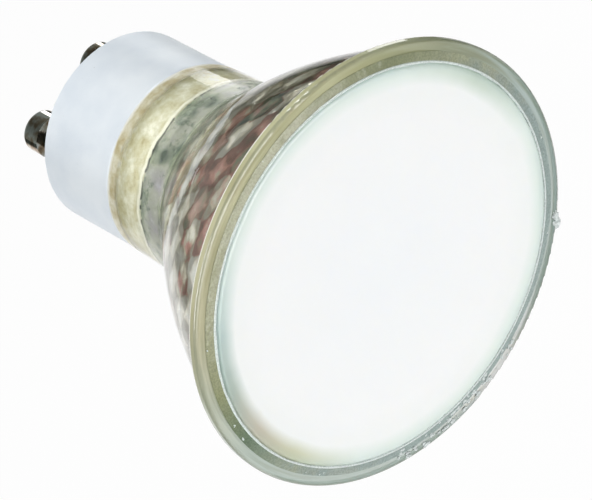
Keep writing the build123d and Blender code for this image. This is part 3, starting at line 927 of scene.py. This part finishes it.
@dataclass
class FrontCover:
    """The opal front glass and the clear silicone that holds it in the rim.

    Attributes:
        skin: The finish of what stands up from the bead.
        blob_lumps: For each lump of the blob: degrees further on, millimetres in from the rim's
            edge and behind its front, share of the blob's size, and unevenness.
        lump_mm: Half size of a crumb outwards; bubble_scale makes it that of a bubble.
        lump_stretch: Its half size round the axis, as a share of that.
        bubble_mm: Distance of a bubble from the front glass's edge.
        crumb_mm: The same for a crumb.
        lump_lead: How far before the rim's front they are centred.
    """

    opal: OpalGlass = OpalGlass()
    silicone: ClearSilicone = ClearSilicone()
    skin: ClearSilicone = ClearSilicone(
        "clear silicone adhesive, drawn up thin and milky",
        ((0.25, "#EEF5F4"), (0.6, "#EAF3F0"), (0.95, "#E6F0EC")), 0.1, shading=0.0)
    meniscus_gap: float = 0.05 * MM
    meniscus_radius: float = 0.14 * MM
    meniscus_wander: float = 0.03 * MM
    blob_angle: float = -44.0
    blob_size: Triple = (0.62 * MM, 0.42 * MM, 0.75 * MM)
    blob_lumps: tuple[tuple[float, ...], ...] = (
        (0.0, 0.1, 0.25, 1.0, 0.5), (2.2, 0.5, 0.0, 0.7, 0.6))
    bubble_count: int = 26
    crumb_count: int = 64
    crumb_arc: Span = (-122.0, -76.0)
    lump_mm: Span = (0.08, 0.28)
    lump_flatness: float = 0.7
    lump_stretch: Span = (0.8, 1.8)
    lump_unevenness: float = 0.6
    bubble_scale: float = 0.6
    bubble_mm: Span = (0.2, 1.0)
    crumb_mm: Span = (0.2, 1.9)
    lump_lead: float = 0.05 * MM
    seed: int = 11

    def build_blob(self, skin: bpy.types.Material) -> None:
        """Adds the blob of silicone that ran over the rim's edge.

        Args:
            skin: Its finish.
        """
        shape = bmesh.new()
        for turn, inset, behind, scale, unevenness in self.blob_lumps:
            place = round_rim(self.blob_angle + turn, RIM_RADIUS - inset * MM, RIM_FRONT + behind * MM)
            add_lump(shape, place, Vector(self.blob_size) * scale, self.blob_angle, unevenness)
        add_piece("adhesive_blob", shape, skin)

    def build_bubbles(self, skin: bpy.types.Material) -> None:
        """Adds the bubbles and crumbs that stand in the bead round the front glass.

        Args:
            skin: Their finish.
        """
        chance = random.Random(self.seed)
        shape = bmesh.new()
        for number in range(self.bubble_count + self.crumb_count):
            crumb = number >= self.bubble_count
            angle = chance.uniform(*self.crumb_arc) if crumb else chance.uniform(-180, 180)
            size = chance.uniform(*self.lump_mm) * (1.0 if crumb else self.bubble_scale) * MM
            radius = GLASS_RADIUS + chance.uniform(*(self.crumb_mm if crumb else self.bubble_mm)) * MM
            lump = Vector((size, size * self.lump_flatness, size * chance.uniform(*self.lump_stretch)))
            place = round_rim(angle, radius, RIM_FRONT - self.lump_lead)
            add_lump(shape, place, lump, angle, self.lump_unevenness)
        add_piece("adhesive_bubbles", shape, skin)

    def build_meniscus(self, skin: bpy.types.Material) -> None:
        """Adds the thin pale rim that the silicone drew up where it wets the front glass.

        Args:
            skin: Its finish.
        """
        shape = bmesh.new()
        add_ring(shape, GLASS_RADIUS + self.meniscus_gap + self.meniscus_radius, BEAD_FRONT,
                 self.meniscus_radius, self.meniscus_wander)
        add_piece("adhesive_meniscus", shape, skin)

    def build(self) -> None:
        """Dresses the front glass and adds what the adhesive left on it."""
        silicone = self.silicone.build()
        skin = self.skin.build()
        dress("front_glass", self.opal.build())
        dress("rim_adhesive", silicone)
        self.build_blob(skin)
        self.build_bubbles(skin)
        self.build_meniscus(skin)


@dataclass
class Base:
    """The ceramic cup with its two contact pins and the cement inside it."""

    ceramic: SteatiteCeramic = SteatiteCeramic()
    plate: BrightNickel = BrightNickel()
    cement: LampCement = LampCement()
    ridge_cement: LampCement = LampCement(
        "lamp cement, squeezed out and baked pale",
        ((0.36, "#CFC59A"), (0.5, "#EDE9D2"), (0.62, "#FBFAF0")),
        ((0.60, "#FFFFFF"), (0.68, "#3B3222")))
    ridge_radius: float = 0.3 * MM
    ridge_lead: float = 0.2 * MM
    ridge_wander: float = 0.25 * MM

    def build_ridge(self) -> None:
        """Adds the uneven ridge that the cement plug pushed up at its front edge."""
        shape = bmesh.new()
        add_ring(shape, PLUG_RADIUS, PLUG_FRONT - self.ridge_lead, self.ridge_radius,
                 self.ridge_wander)
        add_piece("cement_ridge", shape, self.ridge_cement.build())

    def build(self) -> None:
        """Dresses the base, the pins and the cements."""
        plate = self.plate.build()
        cement = self.cement.build()
        dress("ceramic_base", self.ceramic.build())
        for side in Side:
            dress(f"contact_pin_{side.value}", plate)
        dress("base_cement", cement)
        dress("capsule_cement", cement)
        self.build_ridge()


@dataclass
class LightSource:
    """The quartz capsule with its coil, leads, foils, sleeve and fuse wire."""

    quartz: FusedQuartz = FusedQuartz()
    tungsten: DrawnMetal = DrawnMetal("tungsten wire, drawn and coiled", "#8E8B88", 0.34)
    molybdenum: DrawnMetal = DrawnMetal("molybdenum wire, drawn", "#B4B4B6", 0.36)
    foil: DrawnMetal = DrawnMetal("molybdenum foil, rolled", "#A9A5A5", 0.30)
    nickel: DrawnMetal = DrawnMetal("nickel wire, drawn", "#C4C0B6", 0.33)

    def build(self) -> None:
        """Dresses the capsule and all that is sealed in it or led out of it."""
        dress("quartz_capsule", self.quartz.build())
        dress("filament", self.tungsten.build())
        leads, foils, wires = self.molybdenum.build(), self.foil.build(), self.nickel.build()
        for side in Side:
            dress(f"filament_lead_{side.value}", leads)
            dress(f"seal_foil_{side.value}", foils)
            dress(f"outer_lead_{side.value}", wires)
        dress("crimp_sleeve", wires)
        dress("fuse_wire", wires)


@dataclass(frozen=True)
class Softbox:
    """One area lamp, placed by where it stands in the picture.

    Attributes:
        side: Its direction from the object: right, up and towards the camera.
        power: Its power in watts.
    """

    name: str
    side: Triple
    size: Span
    power: float
    distance: float = 0.45


@dataclass(frozen=True)
class ViewAxes:
    """The camera's three axes in the lamp's frame, fitted to the rim, the neck and the base."""

    right: Triple = (0.6127, -0.6362, -0.4689)
    up: Triple = (0.7706, 0.3490, 0.5332)
    towards: Triple = (-0.1755, -0.6881, 0.7041)

    def direction(self, right: float, up: float, towards: float) -> Vector:
        """Turns a direction in the picture into one in the lamp's frame.

        Args:
            right: Share to the picture's right.
            up: Share up the picture.
            towards: Share towards the camera.

        Returns:
            A unit vector.
        """
        sides = zip(self.vectors(), (right, up, towards))
        return sum((axis * share for axis, share in sides), Vector()).normalized()

    def vectors(self) -> tuple[Vector, Vector, Vector]:
        """Gives right, up and towards the camera as vectors."""
        return Vector(self.right), Vector(self.up), Vector(self.towards)

    def matrix(self) -> Matrix:
        """Gives the rotation that turns an object to the view."""
        return Matrix((self.right, self.up, self.towards)).transposed().to_4x4()


@dataclass
class Studio:
    """The camera, the pale floor, the dim room and the softboxes."""

    axes: ViewAxes = ViewAxes()
    focal_px: float = 5000.0
    sensor_mm: float = 36.0
    rim_centre_px: Span = (382.4, 265.5)
    rim_distance: float = 523.2 * MM
    floor_drop: float = 0.22
    floor_size: float = 3.0
    white_shift: Span = (-0.04, -0.08)
    white_radius: float = 0.19
    white_share: float = 0.96
    floor_tones: Stops = ((0.0, "#FFFFFF"), (1.0, "#3A403D"))
    room_tones: Stops = ((0.0, "#8E9694"), (0.35, "#727977"), (0.6, "#2A302E"), (1.0, "#17191A"))
    clip: Span = (0.05, 10.0)
    lamp_target: Triple = (0.0, -25 * MM, 0.0)
    softboxes: tuple[Softbox, ...] = (
        Softbox("front softbox", (0.64, -0.35, 0.69), (0.36, 0.36), 1.62),
        Softbox("back softbox", (0.04, 0.76, -0.60), (0.22, 0.14), 0.27),
        Softbox("overhead softbox", (-0.1, 0.9, 0.45), (0.30, 0.12), 1.3),
        Softbox("side softbox", (-0.75, -0.35, 0.55), (0.14, 0.34), 1.6),
    )

    def build_camera(self) -> None:
        """Places the camera so that the rim's centre falls on its pixel."""
        data = bpy.data.cameras.new("camera")
        data.sensor_width = self.sensor_mm
        data.lens = self.focal_px * self.sensor_mm / IMAGE_WIDTH
        data.clip_start, data.clip_end = self.clip
        camera = bpy.data.objects.new("camera", data)
        bpy.context.scene.collection.objects.link(camera)
        scale = self.rim_distance / self.focal_px
        right = (self.rim_centre_px[0] - IMAGE_WIDTH / 2) * scale
        down = (self.rim_centre_px[1] - IMAGE_HEIGHT / 2) * scale
        across, up, towards = self.axes.vectors()
        rim_centre = Vector((0.0, RIM_FRONT, 0.0))
        place = rim_centre - across * right + up * down + towards * self.rim_distance
        camera.matrix_world = Matrix.Translation(place) @ self.axes.matrix()
        bpy.context.scene.camera = camera
        LOG.info("camera: %.1f mm lens at %.3f m", data.lens, self.rim_distance)

    def build_floor(self) -> None:
        """Lays a plain pale floor below the lamp, lit evenly white where the picture looks."""
        half = self.floor_size / 2
        mesh = bpy.data.meshes.new("floor")
        mesh.from_pydata([(-half, -half, 0), (half, -half, 0), (half, half, 0), (-half, half, 0)],
                         [], [(0, 1, 2, 3)])
        recipe, place = start("white paper, matt, lit from its middle")
        across, up, towards = self.axes.vectors()
        middle = -towards * (self.floor_drop / towards.z)
        middle += across * self.white_shift[0] + up * self.white_shift[1]
        middle.z = 0.0
        add = recipe.add
        paper = add("BsdfDiffuse", {0: linear("#F4F4F4")})
        from_middle = add("VectorMath", {0: place, 1: tuple(middle)}, "Value", operation="DISTANCE")
        far = add("MapRange", {
            "Value": from_middle, "From Min": self.white_radius, "From Max": 2 * self.white_radius})
        tone = add("ValToRGB", {0: far}, stops=self.floor_tones)
        white = add("Emission", {0: tone, 1: 1.0})
        seen, mirrored, through = (add("LightPath", out=f"Is {ray} Ray")
                                   for ray in ("Camera", "Glossy", "Transmission"))
        direct = add("Math", {0: seen, 1: through}, operation="MAXIMUM")
        any_view = add("Math", {0: direct, 1: mirrored}, operation="MAXIMUM")
        share = add("Math", {0: any_view, 1: self.white_share}, operation="MULTIPLY")
        mesh.materials.append(recipe.finish(add("MixShader", {0: share, 1: paper, 2: white})))
        floor = bpy.data.objects.new("floor", mesh)
        floor.location = (0.0, 0.0, -self.floor_drop)
        bpy.context.scene.collection.objects.link(floor)

    def build_lamps(self) -> None:
        """Hangs the softboxes round the object, each facing it."""
        target = Vector(self.lamp_target)
        for box in self.softboxes:
            data = bpy.data.lights.new(box.name, "AREA")
            data.shape = "RECTANGLE"
            data.size, data.size_y = box.size
            data.energy = box.power
            lamp = bpy.data.objects.new(box.name, data)
            away = self.axes.direction(*box.side)
            turn = away.to_track_quat("Z", "Y").to_matrix().to_4x4()
            lamp.matrix_world = Matrix.Translation(target + away * box.distance) @ turn
            bpy.context.scene.collection.objects.link(lamp)
            LOG.info("%s: %.1f W", box.name, box.power)

    def build_room(self) -> None:
        """Makes the room: grey behind the object and dark on the camera's side."""
        world = bpy.data.worlds.new("studio room")
        bpy.context.scene.world = world
        recipe = Recipe(world)
        ray = recipe.add("TexCoord", out="Generated")
        facing = recipe.add("VectorMath", {0: ray, 1: self.axes.towards}, "Value",
                            operation="DOT_PRODUCT")
        share = recipe.add("MapRange", {"Value": facing, "From Min": -1.0})
        tone = recipe.add("ValToRGB", {0: share}, stops=self.room_tones)
        recipe.finish(recipe.add("Background", {0: tone, 1: 1.0}))

    def build(self) -> None:
        """Sets up the picture."""
        self.build_camera()
        self.build_floor()
        self.build_lamps()
        self.build_room()
        bpy.context.scene.view_settings.view_transform = "Standard"


def main() -> None:
    """Builds the lamp's sub-assemblies and the studio in order."""
    logging.basicConfig(level=logging.INFO, format="%(name)s: %(message)s")
    Reflector().build()
    FrontCover().build()
    Base().build()
    LightSource().build()
    Studio().build()


if __name__ == "__main__":
    main()
